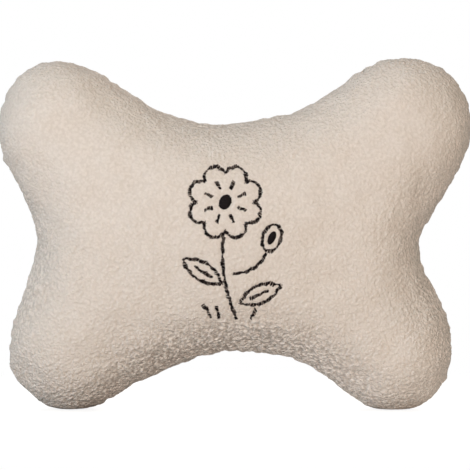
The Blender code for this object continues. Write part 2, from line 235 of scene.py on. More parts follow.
def normals_of(points, faces):
    """The way outwards at each point of a triangle mesh."""
    a, b, c = (points[faces[:, k]] for k in range(3))
    across = np.cross(b - a, c - a)
    total = np.zeros_like(points)
    for k in range(3):
        np.add.at(total, faces[:, k], across)
    return total / (np.linalg.norm(total, axis=1)[:, None] + 1e-12)


# Shares of the mesh spacing: between rows, a point's random shift, and free space at the rim
ROW_GAP = 0.866
MESH_JITTER = 0.16
RIM_GAP = 0.55


def pattern_mesh(spacing, seed):
    """Even triangles over the panel's cut: places, faces, and how many places lie on its edge."""
    rng = np.random.default_rng(seed)
    rim = PATTERN.walk(spacing)
    low, high = rim.min(axis=0), rim.max(axis=0)
    rows = np.arange(low[1], high[1], spacing * ROW_GAP)
    inner = []
    for j, z in enumerate(rows):
        x = np.arange(low[0] + spacing / 2 * (j % 2), high[0], spacing)
        inner.append(np.stack([x, np.full(len(x), z)], axis=1))
    inner = np.concatenate(inner)
    inner += rng.uniform(-MESH_JITTER, MESH_JITTER, inner.shape) * spacing
    inner = inner[PATTERN.measure(inner)[0] > spacing * RIM_GAP]
    places = np.concatenate([rim, inner])
    edges = [(i, (i + 1) % len(rim)) for i in range(len(rim))]
    made = geometry.delaunay_2d_cdt([Vector(p) for p in places], edges, [], 1, 1e-9)
    return np.array([tuple(p) for p in made[0]]), np.array(made[2]), len(rim)


def shaped(pattern, side):
    """The smooth cushion at places of the cut: points, distance from the seam, place along it."""
    reach, out, place = PATTERN.measure(pattern)
    turn = np.clip(reach / ROLL_ARC, 0, math.pi / 2)
    inside = EDGE_ROLL * (1 - np.cos(turn)) + np.maximum(reach - ROLL_LENGTH, 0)
    flat = pattern + out * (reach - SPREAD - inside + eased(place, turn))[:, None]
    high = stuffing_depth(flat) * np.sin(turn)
    points = np.stack([flat[:, 0], SEAM_Y + side * high, flat[:, 1]], axis=1)
    return points, reach, place


class Creases:
    """Soft creases of the stuffed cover, from a cloth simulation of a coarse copy of it."""

    FRAMES = 20
    SMOOTHING = 30
    NEIGHBOURS = 7
    BLUR = 0.004

    def __init__(self, spacing, fullness, seed):
        self.places, faces, rim = pattern_mesh(spacing, seed)
        count = len(self.places)
        smooth = [shaped(self.places, side)[0] for side in (FRONT, BACK)]
        self.outwards = [
            normals_of(smooth[0], faces),
            normals_of(smooth[1], faces[:, ::-1]),
        ]
        turned = np.where(faces < rim, faces, faces + count - rim)[:, ::-1]
        points = np.concatenate([smooth[0], smooth[1][rim:]])
        cover = grown_mesh("coarse_cover", points, [*map(tuple, faces), *map(tuple, turned)])
        moved = self.simulated(cover, points, rim, fullness)
        bpy.data.meshes.remove(cover.data)
        back = np.concatenate([moved[:rim], moved[count:]])
        self.creases = []
        for side, where in enumerate((moved[:count], back)):
            out = ((where - smooth[side]) * self.outwards[side]).sum(axis=1)
            self.creases.append(out - self.evened(out, faces, self.SMOOTHING))

    def simulated(self, cover, points, rim, fullness):
        """Where the coarse cover's points come to lie, cut a little too full and blown up."""
        cover.shape_key_add(name="sewn")
        cut = cover.shape_key_add(name="cut")
        middle = points.mean(axis=0)
        for key, at in zip(cut.data, middle + (points - middle) * (1 + fullness)):
            key.co = at
        seam = cover.vertex_groups.new(name="seam")
        seam.add(list(range(rim)), 1.0, "REPLACE")
        cloth = cover.modifiers.new("stuffed", "CLOTH")
        cloth.settings.quality = 6
        cloth.settings.mass = 0.0003
        cloth.settings.air_damping = 4.0
        cloth.settings.tension_stiffness = 12.0
        cloth.settings.compression_stiffness = 12.0
        cloth.settings.shear_stiffness = 8.0
        cloth.settings.bending_stiffness = 0.02
        cloth.settings.vertex_group_mass = "seam"
        cloth.settings.rest_shape_key = cut
        cloth.settings.use_pressure = True
        cloth.settings.uniform_pressure_force = 4.0
        cloth.settings.effector_weights.gravity = 0.0
        cloth.collision_settings.use_collision = False
        scene = bpy.context.scene
        for step in range(1, self.FRAMES + 1):
            scene.frame_set(step)
        made = cover.evaluated_get(bpy.context.evaluated_depsgraph_get()).to_mesh()
        moved = np.zeros(len(points) * 3)
        made.vertices.foreach_get("co", moved)
        scene.frame_set(1)
        return moved.reshape(-1, 3)

    @staticmethod
    def evened(values, faces, rounds):
        """The values' slow change over the cover, without its creases."""
        pairs = np.concatenate([faces[:, [0, 1]], faces[:, [1, 2]], faces[:, [2, 0]]])
        around = np.zeros(len(values))
        np.add.at(around, pairs[:, 0], 1.0)
        for _ in range(rounds):
            total = np.zeros(len(values))
            np.add.at(total, pairs[:, 0], values[pairs[:, 1]])
            values = (values + total / np.maximum(around, 1)) / 2
        return values

    def beside(self, places):
        """The coarse points next to places of the cut, and how much each counts there."""
        near = kdtree.KDTree(len(self.places))
        for i, (x, z) in enumerate(self.places):
            near.insert((x, z, 0), i)
        near.balance()
        found = [near.find_n((x, z, 0), self.NEIGHBOURS) for x, z in places.tolist()]
        index = np.array([[k for _, k, _ in close] for close in found])
        away = np.array([[reach for _, _, reach in close] for close in found])
        share = np.exp(-((away / self.BLUR) ** 2))
        return index, share / share.sum(axis=1)[:, None]

    def height(self, side, beside, most):
        """Height of the creases there, held within most."""
        index, share = beside
        found = (self.creases[0 if side == FRONT else 1][index] * share).sum(axis=1)
        return most * np.tanh(found / most)


class Flow:
    """A shader socket that takes part in sums."""

    def __init__(self, finish, socket):
        self.finish = finish
        self.socket = socket

    def _sum(self, operation, other, swapped=False):
        pair = [other, self] if swapped else [self, other]
        return self.finish.node("ShaderNodeMath", {"operation": operation}, dict(enumerate(pair)))

    def __add__(self, other):
        return self._sum("ADD", other)

    __radd__ = __add__

    def __sub__(self, other):
        return self._sum("SUBTRACT", other)

    def __rsub__(self, other):
        return self._sum("SUBTRACT", other, swapped=True)

    def __mul__(self, other):
        return self._sum("MULTIPLY", other)

    __rmul__ = __mul__


class Finish:
    """A material under construction."""

    def __init__(self, name, world=None):
        self.made = world or bpy.data.materials.new(name)
        self.made.use_nodes = True
        self.tree = self.made.node_tree
        self.tree.nodes.clear()

    def node(self, kind, settings=None, values=None, result=0):
        """Adds a node, with its settings first, then its sockets' values or links."""
        made = self.tree.nodes.new(kind)
        for key, value in (settings or {}).items():
            setattr(made, key, value)
        for key, value in (values or {}).items():
            if isinstance(value, Flow):
                self.tree.links.new(value.socket, made.inputs[key])
            else:
                made.inputs[key].default_value = value
        return Flow(self, made.outputs[result])

    def mix(self, factor, first, second):
        """Blends two colours."""
        settings = {"data_type": "RGBA"}
        values = {0: factor}
        for key, value in ((6, first), (7, second)):
            values[key] = value if isinstance(value, Flow) else (*value[:3], 1)
        return self.node("ShaderNodeMix", settings, values, 2)

    def vector(self, operation, *values):
        """Vector Math on sockets and constant vectors."""
        return self.node("ShaderNodeVectorMath", {"operation": operation}, dict(enumerate(values)))

    def noise(self, where, scale, detail=2.0, roughness=0.5, distortion=0.0, result=0):
        """Soft noise, with scale in waves to a metre."""
        values = {
            "Vector": where,
            "Scale": scale,
            "Detail": detail,
            "Roughness": roughness,
            "Distortion": distortion,
        }
        return self.node("ShaderNodeTexNoise", None, values, result)

    def span(self, value, low, high, to_low=0.0, to_high=1.0):
        """value from low to high becomes to_low to to_high, and is held there."""
        values = {0: value, 1: low, 2: high, 3: to_low, 4: to_high}
        return self.node("ShaderNodeMapRange", {"interpolation_type": "SMOOTHSTEP"}, values)

    def cells(self, where, scale, smoothness):
        """Round curls side by side, highest in their middles."""
        values = {"Vector": where, "Scale": scale, "Smoothness": smoothness}
        return 1 - self.node("ShaderNodeTexVoronoi", {"feature": "SMOOTH_F1"}, values)

    def bands(self, where, way, scale, distortion, detail=0.0, detail_scale=1.0):
        """Even bands across the axis that way names."""
        settings = {"wave_type": "BANDS", "bands_direction": way, "wave_profile": "SIN"}
        values = {
            "Vector": where,
            "Scale": scale,
            "Distortion": distortion,
            "Detail": detail,
            "Detail Scale": detail_scale,
        }
        return self.node("ShaderNodeTexWave", settings, values, 1)

    def bump(self, strength, distance, height):
        values = {"Strength": strength, "Distance": distance, "Height": height}
        return self.node("ShaderNodeBump", None, values)

    def place(self):
        """The object's own coordinates, in metres."""
        return self.node("ShaderNodeTexCoord", None, None, 3)

    def surface(self, shader):
        kind = "World" if isinstance(self.made, bpy.types.World) else "Material"
        out = self.tree.nodes.new(f"ShaderNodeOutput{kind}")
        self.tree.links.new(shader.socket, out.inputs["Surface"])
        return self.made

    def principled(self, values):
        return self.surface(self.node("ShaderNodeBsdfPrincipled", None, values))


# Curls to a metre, from the clumps of the nap down to the crimp of its hairs
PATCHES = 70.0
CURLS = 560.0
TUFTS = 620.0
FINE_CURLS = 1150.0
CRIMP = 2200.0
CURL_DRIFT = (0.0016, 0.0016, 0.0016)

# Where the fabric bends, deep gaps show between the curls in painted shade and their tips stand
# out with a painted highlight
GAP_SHADE_COLOUR = (0.41, 0.35, 0.31)
TIP_HIGHLIGHT_COLOUR = (0.94, 0.85, 0.78)
BRUSHED_COLOUR = (0.80, 0.77, 0.74)
FLAT_BUMP = 0.62
BENT_BUMP = 3.1


def fleece(name, colour, shadow):
    """Cream fleece: round curls that stand apart more where the fabric bends, with painted shade
    in their gaps and a painted highlight on their tips there.
    """
    finish = Finish(name)
    where = finish.place()
    pile = finish.node("ShaderNodeAttribute", {"attribute_name": "pile"}, None, 2)
    bent = finish.node("ShaderNodeAttribute", {"attribute_name": "bend"}, None, 2)
    drift = finish.noise(where, 300.0, 1.0, 0.5, 0.0, result=1)
    moved = finish.vector("MULTIPLY_ADD", drift, CURL_DRIFT, where)
    curl = finish.cells(moved, CURLS, 0.4)
    fine = finish.cells(moved, FINE_CURLS, 0.3)
    crimp = finish.noise(where, CRIMP, 1.0, 0.6, 0.5)
    tufts = finish.noise(where, TUFTS, 2.0, 0.6)
    patches = finish.noise(where, PATCHES, 2.0)
    # Tip colour on the curls, root colour between them: the root colour is painted shade, mixed in
    # partly at random by the tufts
    filled = finish.span(pile * 0.15 + curl * 0.35 + tufts * 0.5, 0.33, 0.66)
    base = finish.mix(filled, shadow, colour)
    base = finish.mix(finish.span(patches, 0.35, 0.65, 0.0, 0.10), base, BRUSHED_COLOUR)
    tips = finish.span(pile, 0.15, 0.65)
    painted_contrast = finish.span(bent, 0.60, 1.45)
    # Painted shade in the gaps between the curls and a painted highlight on their tips, where the
    # fabric bends
    base = finish.mix(painted_contrast * (1 - tips) * 0.50, base, GAP_SHADE_COLOUR)
    base = finish.mix(painted_contrast * tips * 0.66, base, TIP_HIGHLIGHT_COLOUR)
    relief = (curl * 0.70 + fine * 0.22 + crimp * 0.08) * (bent * BENT_BUMP + FLAT_BUMP)
    return finish.principled(
        {
            "Base Color": base,
            "Roughness": 0.95,
            "Specular IOR Level": 0.1,
            "Sheen Weight": 0.08,
            "Sheen Roughness": 0.6,
            "Sheen Tint": (0.93, 0.90, 0.86, 1),
            "Normal": finish.bump(0.6, 0.0010, relief),
        }
    )


def stuffing_finish(colour):
    """White crimped polyester fibre."""
    finish = Finish("polyester_fibre")
    where = finish.place()
    strands = finish.noise(where, 260.0, 4.0, 0.65, 2.2)
    tufts = finish.noise(where, 45.0, 2.0)
    # Grey where the strands sink: painted shade between the fibres
    base = finish.mix(finish.span(strands, 0.35, 0.62), (0.62, 0.62, 0.60), colour)
    base = finish.mix(finish.span(tufts, 0.3, 0.7, 0.0, 0.2), base, (0.94, 0.94, 0.93))
    bump = finish.bump(0.7, 0.0012, strands)
    return finish.principled(
        {"Base Color": base, "Roughness": 0.9, "Sheen Weight": 0.2, "Normal": bump}
    )


def elastic_finish(colour):
    """Woven elastic: warp ribs along the band, crossed by fine picks."""
    finish = Finish("woven_elastic")
    where = finish.place()
    picks = finish.bands(where, "X", 310.0, 0.6, 1.0, 2.0)
    ribs = finish.bands(where, "Z", 150.0, 0.1)
    wear = finish.noise(where, 90.0, 3.0)
    # A darker copy of the elastic's colour: painted shade in the grooves between the ribs and
    # picks
    dark = tuple(c * 0.72 for c in colour)
    base = finish.mix(finish.span(ribs * 0.5 + picks * 0.5, 0.15, 0.75), dark, colour)
    base = finish.mix(finish.span(wear, 0.4, 0.7, 0.0, 0.16), base, (0.60, 0.54, 0.46))
    bump = finish.bump(0.5, 0.0003, picks * 0.6 + ribs * 0.4)
    return finish.principled({"Base Color": base, "Roughness": 0.78, "Normal": bump})


def thread_finish(name, colour, light):
    """Twisted thread: a soft sheen painted as paler plies among darker ones."""
    finish = Finish(name)
    where = finish.place()
    plies = finish.noise(where, 2600.0, 1.0, 0.5, 0.6)
    lengths = finish.noise(where, 240.0, 2.0)
    # The paler colour on the raised plies is painted sheen
    base = finish.mix(finish.span(plies, 0.35, 0.65), colour, light)
    base = finish.mix(finish.span(lengths, 0.35, 0.7, 0.0, 0.35), base, colour)
    bump = finish.bump(0.5, 0.0002, plies)
    return finish.principled(
        {"Base Color": base, "Roughness": 0.8, "Specular IOR Level": 0.12, "Normal": bump}
    )


def dress(piece, finish):
    """Gives a piece its finish and slot, and lets it ride on the one body."""
    piece.data.materials.clear()
    piece.data.materials.append(finish)
    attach(piece, "root")
    return piece


# The sprig, in the front view, from its own middle
SPRIG = np.array([-0.0015, 0.1070])
DAISY = np.array([-0.0040, 0.0240])
DAISY_RADIUS = 0.0175
DAISY_EYE = 0.0090
PETAL_REACH = 0.0055
PETAL_LINE = (0.0085, 0.0135)
PETALS = 8
LEAF_WIDTH = 0.0110
LEFT_LEAF = ((-0.0060, -0.0260), (-0.0300, -0.0110))
RIGHT_LEAF = ((0.0050, -0.0380), (0.0300, -0.0270))
BUD = (0.0245, 0.0020)
BUD_SIZE = (0.0170, 0.0110)
SEED_SIZE = (0.0085, 0.0050)
BUD_LEAN = 0.35
GRASS = (
    ((-0.0130, -0.0470), (-0.0145, -0.0420), (-0.0180, -0.0390)),
    ((-0.0080, -0.0475), (-0.0085, -0.0430), (-0.0095, -0.0400)),
    ((0.0120, -0.0480), (0.0125, -0.0450), (0.0150, -0.0420)),
)


def curve(start, pull, end, count=24):
    """A line from start to end that bends towards pull."""
    start, pull, end = (np.array(p) for p in (start, pull, end))
    t = np.linspace(0, 1, count)[:, None]
    return (1 - t) ** 2 * start + 2 * t * (1 - t) * pull + t**2 * end


def oval(middle, length, width, lean, count=48):
    turn = np.linspace(0, 2 * math.pi, count, endpoint=False)
    a, b = width / 2 * np.cos(turn), length / 2 * np.sin(turn)
    x = a * math.cos(lean) + b * math.sin(lean)
    z = b * math.cos(lean) - a * math.sin(lean)
    return np.array(middle) + np.stack([x, z], axis=1)


def leaf(base, tip):
    base, tip = np.array(base), np.array(tip)
    along = tip - base
    out = np.array([-along[1], along[0]]) / np.linalg.norm(along) * LEAF_WIDTH
    middle = (base + tip) / 2
    upper, lower = curve(base, middle + out, tip), curve(tip, middle - out, base)
    return np.concatenate([upper[:-1], lower[:-1]])


def vein(base, tip):
    base, tip = np.array(base), np.array(tip)
    return np.linspace(base * 0.75 + tip * 0.25, base * 0.3 + tip * 0.7, 12)


def daisy_outline():
    turn = np.linspace(0, 2 * math.pi, PETALS * 18, endpoint=False)
    reach = DAISY_RADIUS + PETAL_REACH * np.abs(np.sin(PETALS * turn / 2)) ** 0.7
    return DAISY + np.stack([reach * np.sin(turn), reach * np.cos(turn)], axis=1)


def petal_line(i):
    turn = 2 * math.pi * (i + 0.5) / PETALS
    way = np.array([math.sin(turn), math.cos(turn)])
    return DAISY + np.linspace(*PETAL_LINE, 8)[:, None] * way


def sprig_lines():
    """Each stitched line by its CAD node: its places in the front view, and whether it closes."""
    rings = {
        "daisy_outline": daisy_outline(),
        "left_leaf": leaf(*LEFT_LEAF),
        "right_leaf": leaf(*RIGHT_LEAF),
        "bud_outline": oval(BUD, *BUD_SIZE, BUD_LEAN),
    }
    head = (DAISY[0] - 0.0010, DAISY[1] - DAISY_RADIUS - 0.0040)
    lines = {
        "main_stem": curve((0.0030, -0.0480), (-0.0080, -0.0220), head),
        "left_leaf_vein": vein(*LEFT_LEAF),
        "right_leaf_vein": vein(*RIGHT_LEAF),
        "bud_stem": curve((0.0010, -0.0200), (0.0160, -0.0190), (0.0210, -0.0075)),
    }
    lines |= {f"petal_line_{i + 1}": petal_line(i) for i in range(PETALS)}
    lines |= {f"grass_{i + 1}": curve(*blade) for i, blade in enumerate(GRASS)}
    found = {name: (SPRIG + places, True) for name, places in rings.items()}
    return found | {name: (SPRIG + places, False) for name, places in lines.items()}


def sprig_patches():
    """Each solid patch by its CAD node: middle, length, width and lean."""
    return {
        "daisy_eye": (SPRIG + DAISY, DAISY_EYE, DAISY_EYE, 0.0),
        "bud_seed": (SPRIG + BUD, *SEED_SIZE, BUD_LEAN),
    }


def evenly(places, step, closed):
    """The line's places again, a step apart, with the way along it at each."""
    if closed:
        places = np.concatenate([places, places[:1]])
    gaps = np.linalg.norm(np.diff(places, axis=0), axis=1)
    run = np.concatenate([[0], np.cumsum(gaps)])
    count = max(2, round(run[-1] / step))
    at = np.linspace(0, run[-1], count, endpoint=not closed)
    found = np.stack([np.interp(at, run, places[:, k]) for k in range(2)], axis=1)
    ahead, behind = np.roll(found, -1, axis=0), np.roll(found, 1, axis=0)
    if not closed:
        ahead[-1], behind[0] = found[-1], found[0]
    along = ahead - behind
    return found, along / np.linalg.norm(along, axis=1)[:, None]


# How closely the stitches' places are taken, how far one dents the pile, and how far is searched
DENT_STEP = 0.0005
DENT_WIDTH = 0.0013
DENT_SEARCH = 0.006


def stitched_places():
    """Places under every stitch of the sprig, where the thread pulls the pile down."""
    found = [evenly(places, DENT_STEP, closed)[0] for places, closed in sprig_lines().values()]
    for middle, length, width, lean in sprig_patches().values():
        for share in (0.15, 0.4, 0.65, 0.9):
            found.append(oval(middle, length * share, width * share, lean, 24))
    return np.concatenate(found)


def thread_dent(places):
    """1 under the stitches, falling to 0 beside them."""
    stitched = stitched_places()
    tree = kdtree.KDTree(len(stitched))
    for i, (x, z) in enumerate(stitched):
        tree.insert((x, z, 0), i)
    tree.balance()
    dent = np.zeros(len(places))
    low, high = stitched.min(axis=0) - DENT_SEARCH, stitched.max(axis=0) + DENT_SEARCH
    near = np.nonzero(((places > low) & (places < high)).all(axis=1))[0]
    for i in near:
        dent[i] = tree.find((places[i, 0], places[i, 1], 0))[2]
    dent[near] = np.exp(-((dent[near] / DENT_WIDTH) ** 2))
    return dent


def tubes(name, strokes, sides=6):
    """Threads as round tubes. Each stroke is its centre points and radii."""
    points, faces = [], []
    ring = np.linspace(0, 2 * math.pi, sides, endpoint=False)
    for centres, radii in strokes:
        ahead = np.gradient(centres, axis=0)
        ahead /= np.linalg.norm(ahead, axis=1)[:, None] + 1e-12
        across = np.cross(ahead, (0.0, 1.0, 0.0))
        across /= np.linalg.norm(across, axis=1)[:, None] + 1e-12
        up = np.cross(across, ahead)
        start = sum(len(p) for p in points)
        skin = (
            centres[:, None]
            + np.cos(ring)[None, :, None] * (across * radii[:, None])[:, None]
            + np.sin(ring)[None, :, None] * (up * radii[:, None])[:, None]
        )
        points.append(skin.reshape(-1, 3))
        for k in range(len(centres) - 1):
            for i in range(sides):
                j = (i + 1) % sides
                a, b = start + k * sides, start + (k + 1) * sides
                faces.append((a + i, b + i, b + j, a + j))
        last = start + (len(centres) - 1) * sides
        faces.append(tuple(start + i for i in range(sides)))
        faces.append(tuple(last + i for i in reversed(range(sides))))
    return grown_mesh(name, np.concatenate(points), faces)


class Cloth:
    """The finished face of a sewn piece, which stitches are seated on."""

    def __init__(self, piece, side):
        mesh = piece.data
        points = np.zeros(len(mesh.vertices) * 3)
        mesh.vertices.foreach_get("co", points)
        faces = [tuple(p.vertices) for p in mesh.polygons]
        self.tree = BVHTree.FromPolygons(points.reshape(-1, 3).tolist(), faces)
        self.side = side

    def lift(self, places, over):
        """Points over the cloth at places of the front view."""
        found = []
        for (x, z), high in zip(places, over):
            start = Vector((x, SEAM_Y + self.side * 0.1, z))
            point = self.tree.ray_cast(start, Vector((0, -self.side, 0)))[0]
            found.append(tuple(point + Vector((0, self.side * high, 0))))
        return np.array(found)


# Stitches in threads' thicknesses apart, how far one strays and how far the whole line wanders
LINE_GAP = 0.95
PATCH_GAP = 0.8
STRAY = 0.00012
WANDER = 0.0003

# A line's width in shares of its plain width: the mean, its swell, the least and the most
WIDTH_MEAN = 0.90
WIDTH_SWELL = 0.45
WIDTH_LIMITS = (0.28, 1.25)


def satin_line(cloth, places, closed, width, thickness, rng):
    """Slanted stitches side by side along a line, uneven and here and there short."""
    spots, along = evenly(places, thickness * LINE_GAP, closed)
    spots = spots + rng.normal(0, STRAY, spots.shape)
    across = np.stack([-along[:, 1], along[:, 0]], axis=1)
    run = np.arange(len(spots))[:, None] * 1.0
    swell = WIDTH_MEAN + WIDTH_SWELL * waves(run, int(rng.integers(1 << 30)), 48, 7)
    swell = np.clip(swell, *WIDTH_LIMITS)
    spots = spots + across * (WANDER * waves(run, int(rng.integers(1 << 30)), 20, 8))[:, None]
    strokes = []
    for spot, way, side, wide in zip(spots, along, across, swell):
        half = width / 2 * wide * rng.uniform(0.8, 1.12)
        reach = side * half + way * half * rng.uniform(0.15, 0.45)
        steps = np.array([-1.0, -0.7, 0.0, 0.7, 1.0])
        over = np.array([-0.9, 0.2, 0.8, 0.2, -0.9]) * thickness
        centres = cloth.lift(spot + reach * steps[:, None], over)
        strokes.append((centres, np.full(5, thickness / 2) * rng.uniform(0.85, 1.15)))
    return strokes


def satin_patch(cloth, middle, length, width, lean, thickness, rng):
    """Stitches side by side across an oval, domed over its middle."""
    strokes = []
    way = np.array([math.sin(lean), math.cos(lean)])
    side = np.array([math.cos(lean), -math.sin(lean)])
    stitch = np.array([-1.2, 0.2, 0.9, 1.2, 0.9, 0.2, -1.2])
    steps = np.linspace(-1, 1, len(stitch))
    for at in np.arange(-length / 2 + thickness / 2, length / 2, thickness * PATCH_GAP):
        round_off = 1 - (2 * at / length) ** 2
        half = width / 2 * math.sqrt(max(0.02, round_off)) * rng.uniform(0.92, 1.08)
        slant = way * half * 0.25
        spots = middle + way * at + (side * half + slant) * steps[:, None]
        dome = round_off * 1.2
        over = (stitch + dome * (1 - steps**2)) * thickness
        strokes.append((cloth.lift(spots, over), np.full(len(stitch), thickness / 2)))
    return strokes


class CoverSettings(bpy.types.PropertyGroup):
    """Sizes and colours of the fleece cover."""

    spacing: FloatProperty(
        name="Mesh spacing",
        description="Distance between neighbouring points of the fleece",
        default=0.00094,
        unit="LENGTH",
    )
    relief: FloatProperty(
        name="Pile relief",
        description="Height of the curls of the pile",
        default=0.00045,
        unit="LENGTH",
    )
    curl_spacing: FloatProperty(
        name="Curl spacing",
        description="Distance between neighbouring curls",
        default=0.0021,
        unit="LENGTH",
    )
    curl_length: FloatProperty(
        name="Curl length",
        description="Length of a curl between its round ends",
        default=0.0006,
        unit="LENGTH",
    )
    clumping: FloatProperty(
        name="Clumping",
        description="Height of the clumps of curls where the fabric bends",
        default=0.0004,
        unit="LENGTH",
    )
    unevenness: FloatProperty(
        name="Unevenness",
        description="Height of the soft lumps of the stuffing under the fleece",
        default=0.0006,
        unit="LENGTH",
    )
    pucker: FloatProperty(
        name="Seam pucker",
        description="Height of the small folds that run in from the seam",
        default=0.0005,
        unit="LENGTH",
    )
    cloth_spacing: FloatProperty(
        name="Cloth spacing",
        description="Distance between neighbouring points of the simulated cover",
        default=0.0055,
        unit="LENGTH",
    )
    fullness: FloatProperty(
        name="Fullness", description="How much too full the simulated cover is cut", default=0.03
    )
    crease: FloatProperty(
        name="Crease height",
        description="The simulated creases stay below this height",
        default=0.0016,
        unit="LENGTH",
    )
    dent: FloatProperty(
        name="Stitch dent",
        description="How far the embroidery pulls the pile down",
        default=0.0007,
        unit="LENGTH",
    )
    tip_colour: FloatVectorProperty(
        name="Tip colour",
        description="Colour of the tips of the pile",
        default=(0.745, 0.664, 0.597),
        subtype="COLOR",
    )
    # Painted shade between the curls
    root_shade_colour: FloatVectorProperty(
        name="Root colour",
        description="Colour between the curls",
        default=(0.670, 0.589, 0.521),
        subtype="COLOR",
    )
    seed: IntProperty(name="Seed", description="Seed of the fleece's unevenness", default=11)


class BandSettings(bpy.types.PropertyGroup):
    """Sizes and colour of the elastic band."""

    width: FloatProperty(
        name="Width", description="Width of the band", default=0.0300, unit="LENGTH"
    )
    thickness: FloatProperty(
        name="Thickness", description="Thickness of the band", default=0.0015, unit="LENGTH"
    )
    ribs: IntProperty(name="Ribs", description="Warp ribs across the band", default=15)
    colour: FloatVectorProperty(
        name="Colour",
        description="Colour of the elastic",
        default=(0.74, 0.69, 0.61),
        subtype="COLOR",
    )
    tack_dark: FloatVectorProperty(
        name="Tack thread",
        description="Colour of the tacks' thread",
        default=(0.60, 0.53, 0.45),
        subtype="COLOR",
    )
    # The tack thread's paler plies are painted sheen
    tack_sheen_colour: FloatVectorProperty(
        name="Tack plies",
        description="Colour of its paler plies",
        default=(0.76, 0.70, 0.62),
        subtype="COLOR",
    )


class FillingSettings(bpy.types.PropertyGroup):
    """Sizes and colour of the stuffing."""

    spacing: FloatProperty(
        name="Mesh spacing",
        description="Distance between neighbouring points of the stuffing",
        default=0.0035,
        unit="LENGTH",
    )
    inside: FloatProperty(
        name="Inside",
        description="How far the stuffing lies under the fleece",
        default=0.0048,
        unit="LENGTH",
    )
    tuft: FloatProperty(
        name="Tufts", description="Height of its tufts", default=0.0009, unit="LENGTH"
    )
    colour: FloatVectorProperty(
        name="Colour",
        description="Colour of the fibre",
        default=(0.85, 0.85, 0.84),
        subtype="COLOR",
    )
    seed: IntProperty(name="Seed", description="Seed of its mesh", default=3)


class EmbroiderySettings(bpy.types.PropertyGroup):
    """Sizes and colours of the embroidered sprig."""

    line_width: FloatProperty(
        name="Line width", description="Width of a stitched line", default=0.0025, unit="LENGTH"
    )
    thread: FloatProperty(
        name="Thread", description="Thickness of the thread", default=0.0005, unit="LENGTH"
    )
    colour: FloatVectorProperty(
        name="Colour",
        description="Colour of the thread",
        default=(0.006, 0.004, 0.0045),
        subtype="COLOR",
    )
    # The thread's paler plies are painted sheen
    ply_sheen_colour: FloatVectorProperty(
        name="Ply colour",
        description="Colour of its paler plies",
        default=(0.020, 0.014, 0.014),
        subtype="COLOR",
    )


class StageSettings(bpy.types.PropertyGroup):
    """Camera, light and floor."""

    distance: FloatProperty(
        name="Camera distance",
        description="From the camera to the seam",
        default=1.2,
        unit="LENGTH",
    )
    view_width: FloatProperty(
        name="View width",
        description="What the camera sees at the seam",
        default=0.29936,
        unit="LENGTH",
    )
    view_height: FloatProperty(
        name="View height",
        description="Height of the camera over the floor",
        default=0.1108,
        unit="LENGTH",
    )
    view_side: FloatProperty(
        name="View side",
        description="How far the camera stands to the right",
        default=0.0005,
        unit="LENGTH",
    )


# The fabric bends most at the seam, then towards the floor and round a place below the middle; the
# fleece's painted shade between the curls and painted highlight on their tips follow it, so they
# grow towards the bottom
LOW_BEND = 0.35
BEND_DROP = (0, 0.040)
BEND_SPAN = (0.115, 0.090)

# Reach of the seam's pull, of its puckers and of the flat nap beside it, and depth of the pull
SEAM_PULL = 0.0016
SEAM_DEPTH = 0.0011
PUCKER_REACH = 0.010
SEAM_NAP = 0.006

# Curls and the larger clumps of them: radius, and the clumps' spacing and length
CURL_RADIUS = 0.00125
CLUMP_RADIUS = 0.0027
CLUMP_SPACING = 0.0045
CLUMP_LENGTH = 0.0012
MEAN_CURL = 0.6

# Near the floor the fabric is smoother, and rests on it softly
FLOOR_REACH = 0.004
FLOOR_SOFTNESS = 0.0012

# Rows of the seam allowance: how far inwards, and how far off the seam plane
ALLOWANCE = ((0.0020, 0.0006), (0.0060, 0.0010))
ALLOWANCE_NAP = 0.3


